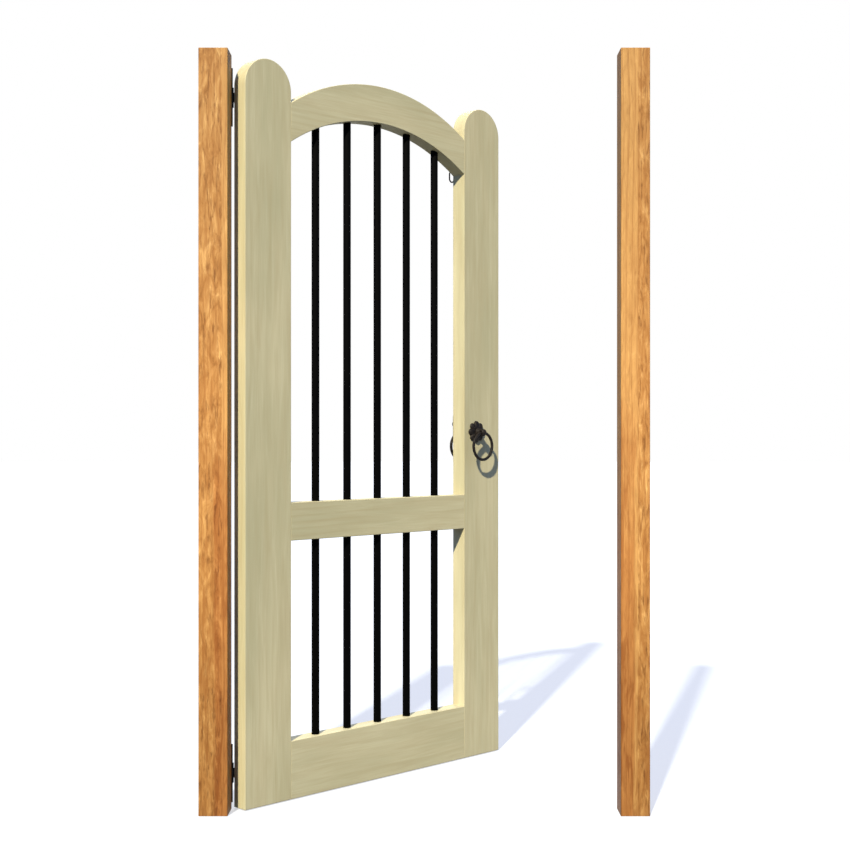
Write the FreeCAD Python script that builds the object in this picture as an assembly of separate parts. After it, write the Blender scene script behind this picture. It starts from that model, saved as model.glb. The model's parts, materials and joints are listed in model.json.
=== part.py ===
"""Wooden garden gate with an arched top, hung between two square posts and standing half open.

Row axes, in millimetres: X runs from the hinge post to the latch post, Y points to the side the
gate opens to, and Z is up. The origin is the centre of the hinge post's foot.

The leaf is drawn in its own axes first: u across its width from the hinge edge, n from its front
face to its back face, and z up, which is the row's Z. on_leaf() carries a leaf shape to its place.
"""
import FreeCAD, Part
import math
import os

V = FreeCAD.Vector
UP = V(0, 0, 1)
ACROSS = V(1, 0, 0)
BACKWARD = V(0, 1, 0)
FORWARD = V(0, -1, 0)

# ---------------------------------------------------------------- posts
POST_SIDE = 70.0
POST_HEIGHT = 1834.0
POST_ARRIS = 1.5
POST_SPACING = 938.0            # clear opening between the posts
HALF_POST = POST_SIDE / 2
LATCH_POST_X = POST_SIDE + POST_SPACING
LATCH_FACE_X = HALF_POST + POST_SPACING

# ---------------------------------------------------------------- leaf
LEAF_WIDTH = 914.0
LEAF_HEIGHT = 1829.0
LEAF_THICK = 44.0
GROUND_GAP = 2.5
OPEN_ANGLE = 45.0
HINGE_GAP = 2.0                 # post face to leaf edge when closed
LEAF_BOTTOM = GROUND_GAP
LEAF_TOP = GROUND_GAP + LEAF_HEIGHT
MID_N = LEAF_THICK / 2

STILE_WIDTH = 144.0
HEAD_RADIUS = STILE_WIDTH / 2
RAIL_START = STILE_WIDTH
RAIL_END = LEAF_WIDTH - STILE_WIDTH
RAIL_MIDDLE = LEAF_WIDTH / 2

BOTTOM_RAIL_HEIGHT = 145.0
MID_RAIL_HEIGHT = 95.0
MID_RAIL_Z = GROUND_GAP + 643.5
ARCH_CROWN_Z = LEAF_TOP - 2.5
ARCH_RADIUS = 575.0
ARCH_DEPTH = 97.0               # measured straight down, the same all along the arch

TENON_LENGTH = 60.0
TENON_THICK = 15.0
TENON_SHOULDER = 16.0
GLUE_SPACE = 1.0

BAR_COUNT = 5
BAR_RADIUS = 10.0
BAR_SOCKET_DEPTH = 25.0
BAR_CLEARANCE = 0.05

# ---------------------------------------------------------------- T-hinges
HINGE_HEIGHTS = {"upper": 1732.0, "lower": 86.0}
IRON_THICK = 3.0
BARREL_RADIUS = 5.5
BARREL_LIFT = 0.3               # barrel clear of the post's back face
PIN_RADIUS = 2.45
PIN_FIT = 0.05
PIN_PROUD = 0.8                 # rounded pin end beyond its knuckle
PIN_FROM_FACE = -1.0            # pin axis beyond the post's inner face
KNUCKLE_LENGTH = 12.0
KNUCKLE_GAP = 0.15
POST_PLATE_HEIGHT = 142.0
POST_PLATE_WIDTH = 45.0
POST_PLATE_CORNER = 8.0
PLATE_OVERHANG = 2.5            # plate edge past the post's inner face
POST_PLATE_SCREW_PLACES = ((4.0, -58.0), (18.0, -34.0), (18.0, 34.0), (4.0, 58.0))  # x, rise
STRAP_LENGTH = 300.0
STRAP_ROOT_WIDTH = 24.0
STRAP_WIDE_WIDTH = 40.0
STRAP_TIP_RADIUS = 9.0
STRAP_SHOULDER = 12.0
STRAP_START = 1.5               # blade clear of the post, from the pin axis
STRAP_ROOM = 7.0                # notch in the post plate, round the pin axis
STRAP_FLARE = 8.0
STRAP_SCREW_PLACES = ((26.0, 9.0), (40.0, -9.0), (110.0, 0.0), (190.0, 0.0), (270.0, 0.0))  # u, rise

PIN_X = HALF_POST + PIN_FROM_FACE
PIN_Y = HALF_POST + BARREL_RADIUS + BARREL_LIFT
PIN_U = PIN_FROM_FACE - HINGE_GAP
PIN_N = LEAF_THICK + BARREL_RADIUS + BARREL_LIFT

# ---------------------------------------------------------------- ring latch
SPINDLE_U = 818.0
SPINDLE_Z = 917.0
SPINDLE_SIDE = 8.0
SPINDLE_BORE_RADIUS = 8.5
NECK_RADIUS = 8.0
NECK_FIT = 0.08
FLARE_GAP = 0.3
FLARE_LENGTH = 10.0
FLARE_RADII = (11.5, 7.0)       # of the handle's neck, at the rose and near the ball
BOSS_RADIUS = 10.5
BOSS_DROP = 2.0                 # the ball's centre below the spindle
RING_RADIUS = 38.0
RING_WIRE_RADIUS = 4.0
RING_EYE_RADIUS = 5.2
RING_EYE_DROP = 3.0
RING_EYE_MOUTH = 3.0            # how far the eye's mouths flare, and how deep
RING_LIFT = 0.7                 # half the ring's sagitta across its eye
FRONT_RING_N = -27.0
BACK_RING_N = LEAF_THICK + 16.5
FRONT_SOCKET_N = -15.0
BACK_SOCKET_N = BACK_RING_N - RING_EYE_RADIUS - 0.5

ROSE_RADIUS = 31.0
ROSE_LOBES = 8
ROSE_LOBE_RADIUS = 9.3
ROSE_HEIGHT = 9.5
ROSE_EDGE = 1.5
ROSE_SHOULDER = (0.72, 6.0)     # share of the radius, and the height there
ROSE_CROWN = 3.0                # flat round the neck
ROSE_SCREW_CIRCLE = 21.5
ROSE_SCREW_SEAT = 6.0

LATCH_PLATE_THICK = 2.0
LATCH_PLATE_CORNER = 6.0
LATCH_PLATE_US = (SPINDLE_U - 46.0, SPINDLE_U + 32.0)
LATCH_PLATE_ZS = (SPINDLE_Z - 28.0, SPINDLE_Z + 48.0)
LATCH_PLATE_SCREW_PLACES = ((-36.0, -18.0), (23.0, -18.0), (23.0, 39.0))  # from the spindle
LATCH_BAR_THICK = 4.0
LATCH_BAR_GAP = 0.5
LATCH_BAR_HALF = 10.0
LATCH_TIP_HALF = 7.5
LATCH_TIP_U = 945.5
PIVOT_U = 784.0
PIVOT_Z = SPINDLE_Z + 22.0
PIVOT_RADIUS = 4.0
PIVOT_FIT = 0.08
PIVOT_HEAD_RADIUS = 7.0
PIVOT_HEAD_THICK = 2.2
PIVOT_END_GAPS = (0.2, 0.3)     # bar to collar, and bar to head
CAM_HUB_RADIUS = 9.5
CAM_TIP_RADIUS = 3.0
CAM_TIP_REACH = 25.0
CAM_TIP_RISE = 8.7
GRUB_RADIUS = 1.5
GRUB_LENGTH = 4.5
GRUB_KEY_RADIUS = 0.7
GRUB_KEY_DEPTH = 1.8

PLATE_BACK_N = LEAF_THICK + LATCH_PLATE_THICK
BAR_FRONT_N = PLATE_BACK_N + LATCH_BAR_GAP
BAR_BACK_N = BAR_FRONT_N + LATCH_BAR_THICK
BAR_BOTTOM_Z = PIVOT_Z - LATCH_BAR_HALF

STAPLE_U = 898.0
STAPLE_WIDTH = 10.0
STAPLE_INNER_N = LEAF_THICK + 8.5
STAPLE_BOTTOM_Z = BAR_BOTTOM_Z - 2.0
STAPLE_TOP_Z = PIVOT_Z + 36.0
STAPLE_FOOT = 20.0

KEEPER_INSET = 4.0              # keeper's edge past the latch post's inner face
KEEPER_PLATE_THICK = 2.0
KEEPER_WIDTH = 54.0
KEEPER_HEIGHT = 50.0
KEEPER_FOOT = 15.0              # plate below the floor of the throat
KEEPER_SCREW_PLACES = ((26.0, 3.0), (46.0, 3.0), (46.0, 35.0))  # x from the face, z from the spindle
CATCH_FLOOR_GAP = 2.5
CATCH_WIDTH = 10.0
CATCH_THROAT_Y = HALF_POST + 8.5
CATCH_RISE = 16.0
CATCH_LIP = 2.0
CATCH_DEPTH = 15.0              # from the throat to the foot of the ramp
CATCH_TOE = 8.0
CATCH_UNDERCUT = 3.0

# ---------------------------------------------------------------- sliding bolt
BOLT_Z = 1657.5
BOLT_N = LEAF_THICK + 10.0
BOLT_RADIUS = 5.0
BOLT_FIT = 0.08
BOLT_START_U = 783.0
BOLT_END_U = 912.0
GUIDE_RADIUS = 8.5
GUIDE_WIDTH = 7.0
GUIDE_US = (832.0, 894.0)       # the bolt stays in both over its 38 mm of travel
BOLT_PLATE_HALF = 19.0
BOLT_PLATE_US = (772.5, 908.0)
BOLT_PLATE_CORNER = 5.0
BOLT_PLATE_SCREW_US = (781.0, 858.0, 899.0)
BOLT_PLATE_SCREW_RISE = 13.5
STUD_U = 788.0
STUD_WIDTH = 5.0
STUD_EYE_N = LEAF_THICK + 22.0
STUD_RADIUS = 5.0
STUD_HOLE_RADIUS = 2.8
LOOP_RADIUS = 9.0
LOOP_WIRE_RADIUS = 2.0
LOOP_STRAIGHT = 12.0
BOLT_KEEPER_HALF = 6.5
BOLT_KEEPER_REACH = 16.5
BOLT_KEEPER_FOOT = 20.0
BOLT_KEEPER_SCREW_RISE = BOLT_KEEPER_HALF + KEEPER_PLATE_THICK + 11.0

# ---------------------------------------------------------------- screws
HOLE_CLEARANCE = 0.05
SHANK_SHARE = 0.7               # the rest of a screw's length is its point
POINT_SHARE = 0.2               # radius left at the very tip


# ---------------------------------------------------------------- helpers
def block(x_range, y_range, z_range):
    """A box from its three ranges."""
    size = [high - low for low, high in (x_range, y_range, z_range)]
    return Part.makeBox(*size, V(x_range[0], y_range[0], z_range[0]))


def rod(start, axis, length, radius):
    return Part.makeCylinder(radius, length, start, axis)


def prism(points, sweep):
    """A straight-edged outline, given as vectors, swept along a vector."""
    return Part.Face(Part.makePolygon(points + [points[0]])).extrude(sweep)


def fused(shapes):
    """One clean solid from several touching or overlapping ones."""
    return shapes[0].fuse(shapes[1:]).removeSplitter()


def turned(profile, origin, axis):
    """A full turn of a closed outline about an axis."""
    return Part.Face(Part.Wire(profile)).revolve(origin, axis, 360)


def tapered_link(start, start_radius, end, end_radius, n_range):
    """A flat link in the leaf's plane: two discs joined by the straight lines that touch both."""
    depth = n_range[1] - n_range[0]
    length = (end - start).Length
    along = (end - start).normalize()
    lean = math.acos((start_radius - end_radius) / length)
    outline = []
    for centre, radius, sides in ((start, start_radius, (1, -1)), (end, end_radius, (-1, 1))):
        for side in sides:
            spoke = FreeCAD.Rotation(FORWARD, side * math.degrees(lean)).multVec(along)
            outline.append(V(centre.x, n_range[0], centre.z) + spoke * radius)
    discs = [rod(V(centre.x, n_range[0], centre.z), BACKWARD, depth, radius)
             for centre, radius in ((start, start_radius), (end, end_radius))]
    return fused([prism(outline, BACKWARD * depth)] + discs)


def screw(seat, into, radius, length, head_radius, head_height):
    """A wood screw with a low domed head: seat is the middle of the face under its head."""
    shank_length = length * SHANK_SHARE
    shank = rod(seat, into, shank_length, radius)
    point = Part.makeCone(radius, radius * POINT_SHARE, length - shank_length,
                          seat + into * shank_length, into)
    sphere_radius = (head_radius ** 2 + head_height ** 2) / (2 * head_height)
    ball = Part.makeSphere(sphere_radius, seat + into * (sphere_radius - head_height))
    head = ball.common(rod(seat - into * head_height, into, head_height, head_radius))
    return fused([shank, point, head])


def flush_screw(face, into, radius, length, head_radius):
    """A countersunk wood screw: face is the middle of its flat head's top."""
    head_height = head_radius - radius
    head = Part.makeCone(head_radius, radius, head_height, face, into)
    return fused([head, rod(face + into * head_height, into, length - head_height, radius)])


def pilot_hole(seat, into, radius, length):
    return rod(seat, into, length + 1.0, radius + HOLE_CLEARANCE)


def on_leaf(shape):
    """Carry a shape from the leaf's own axes to the open gate."""
    placed = shape.copy()
    placed.translate(V(-PIN_U, -PIN_N, 0))
    placed.rotate(V(0, 0, 0), UP, OPEN_ANGLE)
    placed.translate(V(PIN_X, PIN_Y, 0))
    return placed


def save(name, shape):
    shape.exportStep("parts/" + name + ".step")


# ---------------------------------------------------------------- fastener places
def post_plate_screws_at(height):
    """Seats of the four screws in a hinge's post plate, in the row's axes."""
    face_y = HALF_POST + IRON_THICK
    return [V(x, face_y, height + rise) for x, rise in POST_PLATE_SCREW_PLACES]


def strap_screws_at(height):
    """Seats of the five screws in a hinge's strap, in the leaf's axes."""
    face_n = LEAF_THICK + IRON_THICK
    return [V(u, face_n, height + rise) for u, rise in STRAP_SCREW_PLACES]


ROSE_SCREWS = [V(SPINDLE_U + ROSE_SCREW_CIRCLE * math.cos(math.radians(angle)), -ROSE_SCREW_SEAT,
                 SPINDLE_Z + ROSE_SCREW_CIRCLE * math.sin(math.radians(angle)))
               for angle in (45, 135, 225, 315)]
LATCH_PLATE_SCREWS = [V(SPINDLE_U + across, PLATE_BACK_N, SPINDLE_Z + rise)
                      for across, rise in LATCH_PLATE_SCREW_PLACES]
STAPLE_SCREWS = [V(STAPLE_U, LEAF_THICK + IRON_THICK, z)
                 for z in (STAPLE_BOTTOM_Z - STAPLE_FOOT / 2 - IRON_THICK,
                           STAPLE_TOP_Z + STAPLE_FOOT / 2 + IRON_THICK)]
BOLT_PLATE_SCREWS = [V(u, LEAF_THICK + LATCH_PLATE_THICK, BOLT_Z + side * BOLT_PLATE_SCREW_RISE)
                     for u in BOLT_PLATE_SCREW_US for side in (-1, 1)]
KEEPER_SCREWS = [V(LATCH_FACE_X + x, HALF_POST + KEEPER_PLATE_THICK, SPINDLE_Z + rise)
                 for x, rise in KEEPER_SCREW_PLACES]
BOLT_KEEPER_SCREWS = [V(LATCH_FACE_X + KEEPER_INSET + CATCH_WIDTH / 2,
                        HALF_POST + KEEPER_PLATE_THICK, BOLT_Z + side * BOLT_KEEPER_SCREW_RISE)
                      for side in (-1, 1)]

BIG_SCREW = dict(radius=2.4, length=34.0, head_radius=4.6, head_height=1.5)
SMALL_SCREW = dict(radius=1.9, length=24.0, head_radius=3.6, head_height=1.2)
ROSE_SCREW = dict(radius=1.6, length=22.0, head_radius=2.8, head_height=1.4)
FLUSH_SCREW = dict(radius=1.9, length=22.0, head_radius=3.7)


def screws(seats, into, size):
    return Part.makeCompound([screw(seat, into, **size) for seat in seats])


def drill(solid, seats, into, size, depth=None):
    """Cut a screw's pilot hole at every seat."""
    length = depth or size["length"]
    return solid.cut([pilot_hole(seat, into, size["radius"], length) for seat in seats])


# ---------------------------------------------------------------- posts
def post(centre_x):
    solid = block((centre_x - HALF_POST, centre_x + HALF_POST), (-HALF_POST, HALF_POST),
                  (0, POST_HEIGHT))
    upright = [edge for edge in solid.Edges if edge.Length > POST_HEIGHT - 1]
    return solid.makeFillet(POST_ARRIS, upright)


def hinge_post():
    seats = [seat for height in HINGE_HEIGHTS.values() for seat in post_plate_screws_at(height)]
    return drill(post(0), seats, FORWARD, BIG_SCREW)


def latch_post():
    solid = drill(post(LATCH_POST_X), KEEPER_SCREWS, FORWARD, SMALL_SCREW)
    return drill(solid, BOLT_KEEPER_SCREWS, FORWARD, SMALL_SCREW)


# ---------------------------------------------------------------- leaf joinery
def arch_z(u, crown_z):
    """Height of the arch's curve at a place across the leaf."""
    return crown_z - ARCH_RADIUS + math.sqrt(ARCH_RADIUS ** 2 - (u - RAIL_MIDDLE) ** 2)


def arch_underside_z(u):
    return arch_z(u, ARCH_CROWN_Z - ARCH_DEPTH)


def tenon_ranges():
    """Each rail's tenon heights, as (lowest, highest)."""
    arch_low = arch_underside_z(RAIL_START)
    arch_high = arch_z(RAIL_START, ARCH_CROWN_Z)
    return {
        "arch": (arch_low + TENON_SHOULDER, arch_high - TENON_SHOULDER),
        "mid": (MID_RAIL_Z + TENON_SHOULDER, MID_RAIL_Z + MID_RAIL_HEIGHT - TENON_SHOULDER),
        "bottom": (LEAF_BOTTOM + 2 * TENON_SHOULDER,
                   LEAF_BOTTOM + BOTTOM_RAIL_HEIGHT - TENON_SHOULDER),
    }


def tenon(u_start, direction, z_range, length):
    """A flat tongue in the middle of the thickness, pointing out of a rail's end."""
    u_range = sorted((u_start, u_start + direction * length))
    return block(u_range, (MID_N - TENON_THICK / 2, MID_N + TENON_THICK / 2), z_range)


def stile(u_left, mortise_face, mortise_direction):
    """An upright with a half-round head and a blind mortise for each rail."""
    u_right = u_left + STILE_WIDTH
    head_z = LEAF_TOP - HEAD_RADIUS
    corners = [V(u_left, 0, head_z), V(u_left, 0, LEAF_BOTTOM), V(u_right, 0, LEAF_BOTTOM),
               V(u_right, 0, head_z)]
    sides = [Part.makeLine(a, b) for a, b in zip(corners, corners[1:])]
    head = Part.Arc(corners[3], V((u_left + u_right) / 2, 0, LEAF_TOP), corners[0]).toShape()
    solid = Part.Face(Part.Wire(sides + [head])).extrude(BACKWARD * LEAF_THICK)
    mortises = [tenon(mortise_face, mortise_direction, z_range, TENON_LENGTH + GLUE_SPACE)
                for z_range in tenon_ranges().values()]
    return solid.cut(mortises)


def hinge_stile():
    solid = stile(0, RAIL_START, -1)
    seats = [seat for height in HINGE_HEIGHTS.values() for seat in strap_screws_at(height)]
    return drill(solid, seats, FORWARD, BIG_SCREW)


def latch_stile():
    solid = stile(RAIL_END, RAIL_END, 1)
    solid = solid.cut(rod(V(SPINDLE_U, -1, SPINDLE_Z), BACKWARD, LEAF_THICK + 2,
                          SPINDLE_BORE_RADIUS))
    solid = drill(solid, ROSE_SCREWS, BACKWARD, ROSE_SCREW)
    solid = drill(solid, LATCH_PLATE_SCREWS, FORWARD, FLUSH_SCREW)
    solid = drill(solid, STAPLE_SCREWS, FORWARD, SMALL_SCREW)
    return drill(solid, BOLT_PLATE_SCREWS, FORWARD, FLUSH_SCREW)


def bar_places():
    """Centres of the upright bars: equal clear gaps between the stiles."""
    clear_gap = (RAIL_END - RAIL_START - 2 * BAR_RADIUS * BAR_COUNT) / (BAR_COUNT + 1)
    pitch = clear_gap + 2 * BAR_RADIUS
    return [RAIL_START + pitch * (i + 1) - BAR_RADIUS for i in range(BAR_COUNT)]


def bar_bore(u, low_z, high_z):
    return rod(V(u, MID_N, low_z), UP, high_z - low_z, BAR_RADIUS + BAR_CLEARANCE)


def arched_top_rail():
    def curve(crown_z):
        ends = [V(u, 0, arch_z(u, crown_z)) for u in (RAIL_START, RAIL_END)]
        return Part.Arc(ends[0], V(RAIL_MIDDLE, 0, crown_z), ends[1]).toShape(), ends

    top, top_ends = curve(ARCH_CROWN_Z)
    underside, low_ends = curve(ARCH_CROWN_Z - ARCH_DEPTH)
    cuts = [Part.makeLine(low, high) for low, high in zip(low_ends, top_ends)]
    wire = Part.Wire(Part.__sortEdges__([top, cuts[1], underside, cuts[0]]))
    solid = Part.Face(wire).extrude(BACKWARD * LEAF_THICK)
    z_range = tenon_ranges()["arch"]
    solid = fused([solid, tenon(RAIL_START, -1, z_range, TENON_LENGTH),
                   tenon(RAIL_END, 1, z_range, TENON_LENGTH)])
    solid = solid.cut([bar_bore(u, arch_underside_z(u) - 2 * BAR_SOCKET_DEPTH,
                                arch_underside_z(u) + BAR_SOCKET_DEPTH + GLUE_SPACE)
                       for u in bar_places()])
    solid = drill(solid, strap_screws_at(HINGE_HEIGHTS["upper"]), FORWARD, BIG_SCREW)
    return drill(solid, BOLT_PLATE_SCREWS, FORWARD, FLUSH_SCREW)


def straight_rail(low_z, height, tenon_range):
    solid = block((RAIL_START, RAIL_END), (0, LEAF_THICK), (low_z, low_z + height))
    return fused([solid, tenon(RAIL_START, -1, tenon_range, TENON_LENGTH),
                  tenon(RAIL_END, 1, tenon_range, TENON_LENGTH)])


def mid_rail():
    solid = straight_rail(MID_RAIL_Z, MID_RAIL_HEIGHT, tenon_ranges()["mid"])
    return solid.cut([bar_bore(u, MID_RAIL_Z - 1, MID_RAIL_Z + MID_RAIL_HEIGHT + 1)
                      for u in bar_places()])


def bottom_rail():
    top_z = LEAF_BOTTOM + BOTTOM_RAIL_HEIGHT
    solid = straight_rail(LEAF_BOTTOM, BOTTOM_RAIL_HEIGHT, tenon_ranges()["bottom"])
    solid = solid.cut([bar_bore(u, top_z - BAR_SOCKET_DEPTH - GLUE_SPACE, top_z + 1)
                       for u in bar_places()])
    return drill(solid, strap_screws_at(HINGE_HEIGHTS["lower"]), FORWARD, BIG_SCREW)


def infill_bar(u):
    low_z = LEAF_BOTTOM + BOTTOM_RAIL_HEIGHT - BAR_SOCKET_DEPTH
    high_z = arch_underside_z(u) + BAR_SOCKET_DEPTH
    return rod(V(u, MID_N, low_z), UP, high_z - low_z, BAR_RADIUS)


# ---------------------------------------------------------------- T-hinges
def knuckle_column(x, y, low_z, high_z, radius):
    return rod(V(x, y, low_z), UP, high_z - low_z, radius)


def hinge_post_plate(height):
    """The upright plate on the post's back face, with the two outer knuckles."""
    half_strap = STRAP_ROOT_WIDTH / 2
    plate_edge_x = HALF_POST + PLATE_OVERHANG
    plate = block((plate_edge_x - POST_PLATE_WIDTH, plate_edge_x),
                  (HALF_POST, HALF_POST + IRON_THICK),
                  (height - POST_PLATE_HEIGHT / 2, height + POST_PLATE_HEIGHT / 2))
    outer_edges = [edge for edge in plate.Edges
                   if abs(edge.Length - IRON_THICK) < 0.01 and edge.CenterOfMass.x < 0]
    plate = plate.makeFillet(POST_PLATE_CORNER, outer_edges)
    knuckles = [knuckle_column(PIN_X, PIN_Y, height + low, height + low + KNUCKLE_LENGTH
                               - KNUCKLE_GAP, BARREL_RADIUS)
                for low in (-half_strap - KNUCKLE_LENGTH, half_strap + KNUCKLE_GAP)]
    solid = fused([plate] + knuckles)
    strap_room = knuckle_column(PIN_X, PIN_Y, height - half_strap - KNUCKLE_GAP,
                                height + half_strap + KNUCKLE_GAP, STRAP_ROOM)
    pin_hole = knuckle_column(PIN_X, PIN_Y, height - POST_PLATE_HEIGHT,
                              height + POST_PLATE_HEIGHT, PIN_RADIUS + PIN_FIT)
    solid = solid.cut([strap_room, pin_hole])
    return drill(solid, post_plate_screws_at(height), FORWARD, BIG_SCREW)


def hinge_pin(height):
    """A plain pin, pressed into the post plate's knuckles, with rounded ends."""
    half_length = STRAP_ROOT_WIDTH / 2 + KNUCKLE_LENGTH + PIN_PROUD
    pin = knuckle_column(PIN_X, PIN_Y, height - half_length, height + half_length, PIN_RADIUS)
    ends = [edge for edge in pin.Edges if isinstance(edge.Curve, Part.Circle)]
    return pin.makeFillet(PIN_PROUD, ends)


def hinge_strap(height):
    """The long tapering strap on the leaf's back, with the middle knuckle."""
    half_root = STRAP_ROOT_WIDTH / 2 - KNUCKLE_GAP
    half_wide = STRAP_WIDE_WIDTH / 2
    n_range = (LEAF_THICK, LEAF_THICK + IRON_THICK)
    shoulder_u = PIN_U + STRAP_SHOULDER
    tip_u = PIN_U + STRAP_LENGTH - STRAP_TIP_RADIUS
    half_outline = [(PIN_U + STRAP_START, half_root), (shoulder_u, half_root),
                    (shoulder_u + STRAP_FLARE, half_wide), (tip_u, STRAP_TIP_RADIUS)]
    upper = [V(u, n_range[0], height + z) for u, z in half_outline]
    lower = [V(u, n_range[0], height - z) for u, z in reversed(half_outline)]
    blade = prism(upper + lower, BACKWARD * IRON_THICK)
    tip = rod(V(tip_u, n_range[0], height), BACKWARD, IRON_THICK, STRAP_TIP_RADIUS)
    knuckle = knuckle_column(PIN_U, PIN_N, height - half_root, height + half_root, BARREL_RADIUS)
    pin_hole = knuckle_column(PIN_U, PIN_N, height - half_wide, height + half_wide,
                              PIN_RADIUS + PIN_FIT)
    solid = fused([blade, tip, knuckle]).cut(pin_hole)
    return drill(solid, strap_screws_at(height), FORWARD, BIG_SCREW)


# ---------------------------------------------------------------- ring latch, front
def scalloped_prism():
    """The rose's outline as a tall prism: round lobes that meet in cusps."""
    def polar(radius, angle):
        return V(SPINDLE_U + radius * math.cos(angle), 0, SPINDLE_Z + radius * math.sin(angle))

    half_step = math.pi / ROSE_LOBES
    lobe_centre = ROSE_RADIUS - ROSE_LOBE_RADIUS
    cusp_radius = (lobe_centre * math.cos(half_step)
                   + math.sqrt(ROSE_LOBE_RADIUS ** 2 - (lobe_centre * math.sin(half_step)) ** 2))
    arcs = [Part.Arc(polar(cusp_radius, (2 * i - 1) * half_step),
                     polar(ROSE_RADIUS, 2 * i * half_step),
                     polar(cusp_radius, (2 * i + 1) * half_step)).toShape()
            for i in range(ROSE_LOBES)]
    return Part.Face(Part.Wire(arcs)).extrude(FORWARD * 2 * ROSE_HEIGHT)


def front_rose():
    """A domed plate with a scalloped edge, bored for the handle's neck."""
    def at(radius, n):
        return V(SPINDLE_U + radius, n, SPINDLE_Z)

    neck = NECK_RADIUS + NECK_FIT
    rim = ROSE_RADIUS + 2           # the scalloped edge is cut out of this round one
    share, shoulder_height = ROSE_SHOULDER
    corners = [at(neck, 0), at(rim, 0), at(rim, -ROSE_EDGE), at(neck + ROSE_CROWN, -ROSE_HEIGHT),
               at(neck, -ROSE_HEIGHT)]
    dome = Part.Arc(corners[2], at(share * rim, -shoulder_height), corners[3]).toShape()
    outline = [Part.makeLine(corners[0], corners[1]), Part.makeLine(corners[1], corners[2]), dome,
               Part.makeLine(corners[3], corners[4]), Part.makeLine(corners[4], corners[0])]
    body = turned(outline, V(SPINDLE_U, 0, SPINDLE_Z), BACKWARD)
    solid = body.common(scalloped_prism())
    seats = [V(seat.x, -2 * ROSE_HEIGHT, seat.z) for seat in ROSE_SCREWS]
    solid = drill(solid, seats, BACKWARD, ROSE_SCREW, depth=2 * ROSE_HEIGHT)
    recesses = [rod(seat, FORWARD, ROSE_HEIGHT, ROSE_SCREW["head_radius"] + 0.2)
                for seat in ROSE_SCREWS]
    return solid.cut(recesses)


def ring_eye(n):
    """The cross hole that a ring hangs in, with eased mouths."""
    z = SPINDLE_Z - RING_EYE_DROP
    bore = rod(V(SPINDLE_U - 2 * BOSS_RADIUS, n, z), ACROSS, 4 * BOSS_RADIUS, RING_EYE_RADIUS)
    mouths = [Part.makeCone(RING_EYE_RADIUS, RING_EYE_RADIUS + RING_EYE_MOUTH, RING_EYE_MOUTH,
                            V(SPINDLE_U, n, z) + ACROSS * side * (BOSS_RADIUS - RING_EYE_MOUTH),
                            ACROSS * side)
              for side in (-1, 1)]
    return fused([bore] + mouths)


def square_hole(n_range):
    half = SPINDLE_SIDE / 2 + HOLE_CLEARANCE
    return block((SPINDLE_U - half, SPINDLE_U + half), n_range,
                 (SPINDLE_Z - half, SPINDLE_Z + half))


def axle_disc(n_range, radius):
    """A disc on the spindle's axis."""
    return rod(V(SPINDLE_U, n_range[0], SPINDLE_Z), BACKWARD, n_range[1] - n_range[0], radius)


def boss_ball(n):
    centre = V(SPINDLE_U, n, SPINDLE_Z - BOSS_DROP)
    return Part.makeSphere(BOSS_RADIUS, centre, BACKWARD)


def front_boss():
    """The ball that carries the front ring, on a flared neck that turns in the rose."""
    neck = axle_disc((FRONT_RING_N + BOSS_RADIUS / 2, -0.5), FLARE_RADII[1])
    bearing = axle_disc((-ROSE_HEIGHT - FLARE_GAP, -0.5), NECK_RADIUS)
    flare = Part.makeCone(*FLARE_RADII, FLARE_LENGTH,
                          V(SPINDLE_U, -ROSE_HEIGHT - FLARE_GAP, SPINDLE_Z), FORWARD)
    solid = fused([boss_ball(FRONT_RING_N), neck, bearing, flare])
    return solid.cut([ring_eye(FRONT_RING_N), square_hole((FRONT_SOCKET_N, 0))])


def spindle():
    half = SPINDLE_SIDE / 2
    return block((SPINDLE_U - half, SPINDLE_U + half), (FRONT_SOCKET_N + 0.3, BACK_SOCKET_N - 0.3),
                 (SPINDLE_Z - half, SPINDLE_Z + half))


def pull_ring(n):
    centre_z = SPINDLE_Z - RING_EYE_DROP + RING_LIFT - RING_RADIUS
    return Part.makeTorus(RING_RADIUS, RING_WIRE_RADIUS, V(SPINDLE_U, n, centre_z), BACKWARD)


# ---------------------------------------------------------------- ring latch, back
def lift_cam():
    """The cam on the spindle: its sleeve turns in the back plate, its finger lifts the bar."""
    sleeve = axle_disc((LEAF_THICK + 0.2, BAR_FRONT_N), NECK_RADIUS)
    hub_centre = V(SPINDLE_U, 0, SPINDLE_Z)
    tip_centre = hub_centre + V(CAM_TIP_REACH, 0, CAM_TIP_RISE)
    finger = tapered_link(hub_centre, CAM_HUB_RADIUS, tip_centre, CAM_TIP_RADIUS,
                          (BAR_FRONT_N, BAR_BACK_N))
    return fused([sleeve, finger]).cut(square_hole((LEAF_THICK, BAR_BACK_N + 1)))


def back_boss():
    """The ball that carries the back ring, slid on the spindle and held by a grub screw."""
    face_n = BAR_BACK_N + 0.1
    solid = fused([boss_ball(BACK_RING_N), axle_disc((face_n, BACK_RING_N), CAM_HUB_RADIUS)])
    cam_room = axle_disc((LEAF_THICK, face_n), 2 * BOSS_RADIUS)
    hole = grub_screw_rod(GRUB_RADIUS + HOLE_CLEARANCE, 2 * BOSS_RADIUS)
    return solid.cut([cam_room, ring_eye(BACK_RING_N), square_hole((LEAF_THICK, BACK_SOCKET_N)),
                      hole])


def grub_screw_rod(radius, length):
    """A rod pointing straight down from the underside of the spindle, inside the back boss."""
    n = (BAR_BACK_N + BACK_SOCKET_N) / 2
    return rod(V(SPINDLE_U, n, SPINDLE_Z - SPINDLE_SIDE / 2), -UP, length, radius)


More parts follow.
